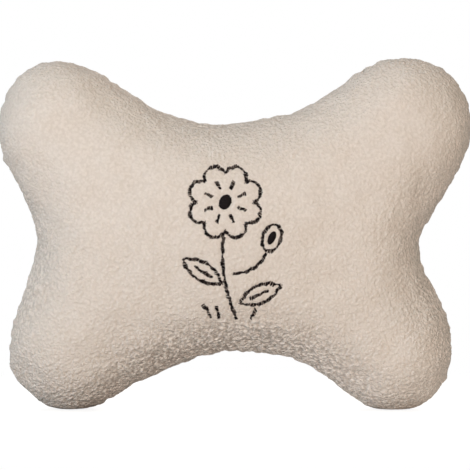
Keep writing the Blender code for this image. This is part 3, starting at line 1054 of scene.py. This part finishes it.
class NECKPILLOW_OT_cover(bpy.types.Operator):
    """Sews the fleece front and back over the stuffing"""

    bl_idname = "neck_pillow.cover"
    bl_label = "Sew fleece cover"

    def execute(self, context):
        cover = context.scene.neck_pillow_cover
        pattern, faces, rim = pattern_mesh(cover.spacing, cover.seed)
        creases = {FRONT: 0.0, BACK: 0.0}
        stuffed = Creases(cover.cloth_spacing, cover.fullness, cover.seed)
        beside = stuffed.beside(pattern)
        for side in (FRONT, BACK):
            creases[side] = stuffed.height(side, beside, cover.crease)
        for name, side in (("front", FRONT), ("back", BACK)):
            self.panel(cover, name, side, pattern, faces, rim, creases[side])
        return {"FINISHED"}

    def panel(self, cover, name, side, pattern, faces, rim, creases):
        """One fleece panel: the smooth cushion with its creases, puckers, nap and dents."""
        points, reach, place = shaped(pattern, side)
        faces = faces if side == FRONT else faces[:, ::-1]
        bend = self.bend(points, reach)
        near_floor = np.clip(points[:, 2] / FLOOR_REACH, 0, 1)
        rise = creases + self.unevenness(cover, side, points, reach, place)
        standing = np.ones(len(points))
        if side == FRONT:
            dent = thread_dent(points[:, [0, 2]])
            standing -= 0.7 * dent
            rise -= cover.dent * dent
        pile = curls(
            pattern, cover.seed + side, cover.curl_spacing, cover.curl_length, CURL_RADIUS
        )
        clumps = curls(
            pattern, cover.seed + 3 * side + 20, CLUMP_SPACING, CLUMP_LENGTH, CLUMP_RADIUS
        )
        nap = cover.relief * (0.4 + 1.2 * bend) * (pile - MEAN_CURL)
        nap += cover.clumping * bend * (clumps - MEAN_CURL)
        rise += nap * standing * (1 - 0.65 * np.exp(-((reach / SEAM_NAP) ** 2)))
        points = points + normals_of(points, faces) * (rise * (0.25 + 0.75 * near_floor))[:, None]
        points[:, 2] = (points[:, 2] + np.hypot(points[:, 2], FLOOR_SOFTNESS)) / 2
        tucked, strips = self.allowance(points[:rim], pattern[:rim], side, len(points))
        points = np.concatenate([points, tucked])
        piece = grown_mesh(f"{name}_fleece", points, [tuple(f) for f in faces] + strips)
        # The shader reads pile and bend: the painted shade between the curls and the painted
        # highlight on their tips follow them
        for key, values in (("pile", pile * standing), ("bend", bend)):
            layer = piece.data.attributes.new(key, "FLOAT", "POINT")
            values = np.concatenate([values, np.full(len(tucked), ALLOWANCE_NAP)])
            layer.data.foreach_set("value", values.astype(np.float32))
        finish = fleece(f"fleece_{name}", tuple(cover.tip_colour), tuple(cover.root_shade_colour))
        dress(piece, finish)
        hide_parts(f"{name}_panel")

    @staticmethod
    def bend(points, reach):
        """How much the fabric bends, which opens its nap and sets where the fleece gets painted
        shade and highlight.
        """
        bend = np.cos(np.clip(reach / ROLL_ARC, 0, math.pi / 2)) ** 1.2
        bend = np.clip(bend + LOW_BEND * (1 - points[:, 2] / LOBES[0][1]), 0, 1)
        away = (points[:, [0, 2]] - EDGE.middle + BEND_DROP) / BEND_SPAN
        return bend * (0.65 + 1.05 * np.exp(-(away**2).sum(axis=1)))

    @staticmethod
    def unevenness(cover, side, points, reach, place):
        """Height of the soft lumps and of the puckers beside the seam, less the seam's pull."""
        lumps = waves(points, cover.seed + 5 * side, 0.060, 0.018)
        folds = waves(place[:, None], cover.seed + 7, 0.022, 0.007)
        folds = folds * np.exp(-((reach / PUCKER_REACH) ** 2)) * np.clip(reach / 0.003, 0, 1)
        seam = np.exp(-((reach / SEAM_PULL) ** 2))
        return cover.unevenness * lumps + cover.pucker * folds - SEAM_DEPTH * seam

    @staticmethod
    def allowance(edge, pattern, side, start):
        """Two rows of the seam allowance, turned in between the panels, and their faces."""
        _, out, _ = PATTERN.measure(pattern)
        rows, strips = [], []
        rim = len(edge)
        outer = 0
        for inwards, apart in ALLOWANCE:
            row = edge.copy()
            row[:, 0] -= out[:, 0] * inwards
            row[:, 2] -= out[:, 1] * inwards
            row[:, 1] = SEAM_Y + side * apart
            inner = start + len(rows) * rim
            rows.append(row)
            for i in range(rim):
                j = (i + 1) % rim
                quad = (outer + i, inner + i, inner + j, outer + j)
                strips.append(quad if side == FRONT else quad[::-1])
            outer = inner
        return np.concatenate(rows), strips


class NECKPILLOW_OT_filling(bpy.types.Operator):
    """Fills the cover with one mass of crimped fibre"""

    bl_idname = "neck_pillow.filling"
    bl_label = "Stuff with fibre"

    def execute(self, context):
        filling = context.scene.neck_pillow_filling
        pattern, faces, rim = pattern_mesh(filling.spacing, filling.seed)
        halves, skins = [], []
        for side in (FRONT, BACK):
            points = shaped(pattern, side)[0]
            turned = faces if side == FRONT else faces[:, ::-1]
            inward = filling.inside - waves(points, 31, 0.030, 0.009) * filling.tuft
            points = points - normals_of(points, turned) * inward[:, None]
            points[:, 2] = np.maximum(points[:, 2], 0.0045)
            halves.append(points)
            skins.append(turned)
        middle = (halves[0][:rim] + halves[1][:rim]) / 2
        halves[0][:rim] = halves[1][:rim] = middle
        count = len(pattern)
        joined = np.where(skins[1] < rim, skins[1], skins[1] + count - rim)
        points = np.concatenate([halves[0], halves[1][rim:]])
        piece = grown_mesh("stuffing", points, [*map(tuple, skins[0]), *map(tuple, joined)])
        dress(piece, stuffing_finish(tuple(filling.colour)))
        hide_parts("fibre_fill")
        return {"FINISHED"}


# The band's height over the floor, its arch over the back, and the length of its straight middle
BAND_HEIGHT = 0.1030
BAND_ARCH = 0.0100
BAND_TOP = EDGE_DEPTH + BELLY_CROWN + BAND_ARCH
BAND_LEVEL = 0.0400
BAND_MIDDLE = 0.0005
BAND_HALF_WIDTH = 0.0150

# Depth of a rib, and the shares of the thickness and width that the selvedge is rounded by
RIB_DEPTH = 0.00011
SELVEDGE_START = 0.47
SELVEDGE = 0.03

# The tacks: from the seam to the box, and the box's length, half height and stitch
TACK_START = 0.0110
TACK_LENGTH = 0.0160
TACK_HALF_HEIGHT = 0.0120
TACK_STITCH = 0.0026


def band_ends():
    """The side seams' furthest places inwards across the band's width."""
    found = []
    for arc, side in ((EDGE.arcs[7], 1), (EDGE.arcs[3], -1)):
        rise = max(abs(BAND_HEIGHT + way * BAND_HALF_WIDTH - arc[0][1]) for way in (-1, 1))
        found.append(arc[0][0] + side * math.sqrt(arc[1] ** 2 - rise**2))
    return found


def band_line(x, z):
    """Height over the seam plane of the band's underside."""
    left, right = band_ends()
    seam = np.where(x < BAND_MIDDLE, left, right)
    past = np.maximum(0, np.abs(x - BAND_MIDDLE) - BAND_LEVEL / 2)
    span = np.abs(seam - BAND_MIDDLE) - 0.0050 - BAND_LEVEL / 2
    free = BAND_TOP * np.sqrt(np.maximum(0, 1 - (past / span) ** 2))
    on_back = height_at(np.stack([x, np.full(len(x), z)], axis=1)) + 0.0004
    eased_on = (on_back + free + np.hypot(on_back - free, 0.002)) / 2
    return np.where(free > on_back + 0.005, free, eased_on)


class NECKPILLOW_OT_band(bpy.types.Operator):
    """Weaves the elastic band and sews it to the back"""

    bl_idname = "neck_pillow.band"
    bl_label = "Sew on elastic band"

    def execute(self, context):
        band = context.scene.neck_pillow_band
        left, right = band_ends()
        x = np.linspace(left + 0.008, right - 0.008, 150)
        rows = band.ribs * 4 + 1
        across = np.linspace(-0.5, 0.5, rows)
        under, over = [], []
        for share in across:
            z = BAND_HEIGHT + share * band.width
            line = np.stack([x, band_line(x, z)], axis=1)
            along = np.gradient(line, axis=0)
            along /= np.linalg.norm(along, axis=1)[:, None]
            out = np.stack([-along[:, 1], along[:, 0]], axis=1)
            rib = RIB_DEPTH * math.cos(2 * math.pi * band.ribs * share)
            edge = 0.5 * band.thickness * max(0, (abs(share) - SELVEDGE_START) / SELVEDGE) ** 2
            low = line + out * (0.0001 + edge * 0.8)
            high = line + out * (band.thickness - 0.0001 + rib - edge * 0.8)
            for rows_of, face in ((under, low), (over, high)):
                row = [face[:, 0], SEAM_Y + face[:, 1], np.full(len(x), z)]
                rows_of.append(np.stack(row, axis=1))
        loop = under + over[::-1]
        points = np.concatenate(loop)
        count, steps = len(loop), len(x)
        faces = []
        for a in range(count):
            b = (a + 1) % count
            for k in range(steps - 1):
                faces.append(
                    (a * steps + k, a * steps + k + 1, b * steps + k + 1, b * steps + k)
                )
        for k, turn in ((0, 1), (steps - 1, -1)):
            for a in range(rows - 1):
                quad = (a, a + 1, count - 2 - a, count - 1 - a)[::turn]
                faces.append(tuple(q * steps + k for q in quad))
        piece = grown_mesh("elastic_band", points, faces)
        dress(piece, elastic_finish(tuple(band.colour)))
        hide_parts("headrest_strap")
        self.tacks(piece, band, left, right)
        return {"FINISHED"}

    def tacks(self, piece, band, left, right):
        """A box of stitches at each end of the band."""
        cloth = Cloth(piece, BACK)
        rng = np.random.default_rng(23)
        finish = thread_finish("sewing_thread", tuple(band.tack_dark), tuple(band.tack_sheen_colour))
        for name, seam, way in (("left", left, 1), ("right", right, -1)):
            start = seam + way * TACK_START
            end = start + way * TACK_LENGTH
            low, high = BAND_HEIGHT - TACK_HALF_HEIGHT, BAND_HEIGHT + TACK_HALF_HEIGHT
            corners = [(start, low), (start, high), (end, high), (end, low)]
            strokes = []
            for a, b in zip(corners, corners[1:] + corners[:1]):
                a, b = np.array(a), np.array(b)
                stitches = round(np.linalg.norm(b - a) / TACK_STITCH)
                for i in range(stitches):
                    shares = np.array([0.06, 0.25, 0.5, 0.75, 0.94])
                    over = np.array([-0.0004, 0.0002, 0.0003, 0.0002, -0.0004])
                    spots = a + (b - a) * ((i + shares) / stitches)[:, None]
                    spots = spots + rng.normal(0, 0.00006, (5, 2))
                    strokes.append((cloth.lift(spots, over), np.full(5, 0.0003)))
            tack = tubes(f"{name}_box_stitch", strokes)
            dress(tack, finish)
            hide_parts(f"{name}_tack")


class NECKPILLOW_OT_embroidery(bpy.types.Operator):
    """Stitches the flower sprig on the front"""

    bl_idname = "neck_pillow.embroidery"
    bl_label = "Embroider sprig"

    def execute(self, context):
        settings = context.scene.neck_pillow_embroidery
        cloth = Cloth(bpy.data.objects["front_fleece"], FRONT)
        finish = thread_finish(
            "embroidery_thread", tuple(settings.colour), tuple(settings.ply_sheen_colour)
        )
        rng = np.random.default_rng(41)
        width, thread = settings.line_width, settings.thread
        made = {}
        for name, (places, closed) in sprig_lines().items():
            made[name] = satin_line(cloth, places, closed, width, thread, rng)
        for name, patch in sprig_patches().items():
            made[name] = satin_patch(cloth, *patch, thread, rng)
        for name, strokes in made.items():
            piece = tubes(f"{name}_stitches", strokes)
            dress(piece, finish)
            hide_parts(name)
        return {"FINISHED"}


# Degrees to the right of the front and over level, watts and colour
LAMPS = {
    "front": (0, 3, 10.2, (1.0, 0.80, 0.71)),
    "left_front": (-35, 3, 4.0, (0.60, 0.95, 1.0)),
    "left": (-60, 2, 3.6, (0.75, 0.75, 1.0)),
    "top_left": (-50, 50, 2.4, (0.40, 0.70, 1.0)),
    "top": (0, 65, 1.4, (1.0, 0.95, 0.98)),
    "rear_top": (180, 60, 2.2, (1.0, 0.80, 0.85)),
    "rear": (165, 15, 16.0, (1.0, 0.95, 0.90)),
}
LAMP_AIM = (0, 0, 0.11)
LAMP_DISTANCE = 1.5
LAMP_WIDTH = 0.5

# Half the floor's width, where it fades to white, and where its uneven light on the pillow ends
FLOOR_HALF = 6.0
FLOOR_FADE = (0.16, 0.34)
BOUNCE_ACROSS = 0.10
BOUNCE_FADE = (0.12, 0.24)


class NECKPILLOW_OT_stage(bpy.types.Operator):
    """Sets the floor, the light and the camera"""

    bl_idname = "neck_pillow.stage"
    bl_label = "Set stage"

    def execute(self, context):
        scene = context.scene
        settings = scene.neck_pillow_stage
        scene.view_settings.view_transform = "Standard"
        self.floor()
        self.sky(scene)
        for name, (turn, rise, power, colour) in LAMPS.items():
            self.lamp(name, turn, rise, power, colour)
        camera = bpy.data.cameras.new("camera")
        camera.sensor_width = 36.0
        camera.lens = camera.sensor_width * settings.distance / settings.view_width
        camera.clip_start, camera.clip_end = 0.01, 20.0
        holder = bpy.data.objects.new("camera", camera)
        holder.location = (
            settings.view_side,
            SEAM_Y - settings.distance,
            settings.view_height,
        )
        holder.rotation_euler = (math.pi / 2, 0, 0)
        scene.collection.objects.link(holder)
        scene.camera = holder
        return {"FINISHED"}

    @staticmethod
    def floor():
        """White to the camera, with the pillow's shadow, and paler on the right to the pillow."""
        ways = ((-1, -1, 0), (1, -1, 0), (1, 1, 0), (-1, 1, 0))
        piece = grown_mesh("floor", np.array(ways) * FLOOR_HALF, [(0, 1, 2, 3)], smooth=False)
        finish = Finish("pale_floor")
        rays = finish.node("ShaderNodeLightPath", None, None, 0)
        away = finish.vector("LENGTH", finish.place())
        away = Flow(finish, away.socket.node.outputs["Value"])
        dull = finish.node("ShaderNodeBsdfDiffuse", None, {"Color": (0.38, 0.37, 0.36, 1)})
        pale = finish.node("ShaderNodeBsdfDiffuse", None, {"Color": (0.76, 0.75, 0.74, 1)})
        across = finish.node("ShaderNodeSeparateXYZ", None, {0: finish.place()})
        side = finish.span(across, -BOUNCE_ACROSS, BOUNCE_ACROSS, -0.5, 0.5)
        uneven = side * finish.span(away, *BOUNCE_FADE, 1.0, 0.0)
        matt = finish.node("ShaderNodeMixShader", None, {0: uneven + 0.5, 1: dull, 2: pale})
        faint = finish.node("ShaderNodeBsdfDiffuse", None, {"Color": (0.36, 0.36, 0.36, 1)})
        glow = finish.node("ShaderNodeEmission", None, {"Color": (0.86, 0.86, 0.86, 1)})
        white = finish.node("ShaderNodeEmission", None, {"Color": (1, 1, 1, 1)})
        near = finish.node("ShaderNodeAddShader", None, {0: faint, 1: glow})
        fade = finish.span(away, *FLOOR_FADE)
        seen = finish.node("ShaderNodeMixShader", None, {0: fade, 1: near, 2: white})
        shown = finish.node("ShaderNodeMixShader", None, {0: rays, 1: matt, 2: seen})
        piece.data.materials.append(finish.surface(shown))

    @staticmethod
    def sky(scene):
        """White to the camera and in reflections, and a soft light on the pillow."""
        world = bpy.data.worlds.new("studio")
        scene.world = world
        finish = Finish("studio", world)
        rays = finish.node("ShaderNodeLightPath", None, None, 0)
        glossy = Flow(finish, rays.socket.node.outputs["Is Glossy Ray"])
        through = Flow(finish, rays.socket.node.outputs["Is Transmission Ray"])
        soft = finish.node(
            "ShaderNodeBackground", None, {"Color": (1.0, 0.98, 0.84, 1), "Strength": 0.37}
        )
        white = finish.node("ShaderNodeBackground", None, {"Color": (1, 1, 1, 1), "Strength": 1.0})
        seen = rays + glossy + through
        finish.surface(finish.node("ShaderNodeMixShader", None, {0: seen, 1: soft, 2: white}))

    @staticmethod
    def lamp(name, turn, rise, power, colour):
        """A soft lamp that looks at the pillow, turned from the front and risen from level."""
        light = bpy.data.lights.new(name, "AREA")
        light.shape, light.size = "DISK", LAMP_WIDTH
        light.energy, light.color = power, colour
        turn, rise = math.radians(turn), math.radians(rise)
        way = (math.sin(turn) * math.cos(rise), -math.cos(turn) * math.cos(rise), math.sin(rise))
        holder = bpy.data.objects.new(name, light)
        holder.location = Vector(LAMP_AIM) + Vector(way) * LAMP_DISTANCE
        holder.rotation_euler = Vector(way).to_track_quat("Z", "Y").to_euler()
        bpy.context.scene.collection.objects.link(holder)


class NECKPILLOW_PT_panel(bpy.types.Panel):
    """Lists the steps of the neck pillow"""

    bl_idname = "NECKPILLOW_PT_panel"
    bl_label = "Neck Pillow"
    bl_space_type = "VIEW_3D"
    bl_region_type = "UI"
    bl_category = "Neck Pillow"

    def draw(self, context):
        for step in STEPS:
            self.layout.operator(step.bl_idname)
        for name, group in GROUPS.items():
            box = self.layout.box()
            for key in group.__annotations__:
                box.prop(getattr(context.scene, name), key)


STEPS = (
    NECKPILLOW_OT_cover,
    NECKPILLOW_OT_filling,
    NECKPILLOW_OT_band,
    NECKPILLOW_OT_embroidery,
    NECKPILLOW_OT_stage,
)
GROUPS = {
    "neck_pillow_cover": CoverSettings,
    "neck_pillow_filling": FillingSettings,
    "neck_pillow_band": BandSettings,
    "neck_pillow_embroidery": EmbroiderySettings,
    "neck_pillow_stage": StageSettings,
}


def register():
    for name, group in GROUPS.items():
        bpy.utils.register_class(group)
        setattr(bpy.types.Scene, name, PointerProperty(type=group))
    for made in (*STEPS, NECKPILLOW_PT_panel):
        bpy.utils.register_class(made)


def unregister():
    for made in (NECKPILLOW_PT_panel, *reversed(STEPS)):
        bpy.utils.unregister_class(made)
    for name, group in reversed(GROUPS.items()):
        delattr(bpy.types.Scene, name)
        bpy.utils.unregister_class(group)


def main():
    register()
    bpy.ops.neck_pillow.cover()
    bpy.ops.neck_pillow.filling()
    bpy.ops.neck_pillow.band()
    bpy.ops.neck_pillow.embroidery()
    bpy.ops.neck_pillow.stage()


if __name__ == "__main__":
    main()
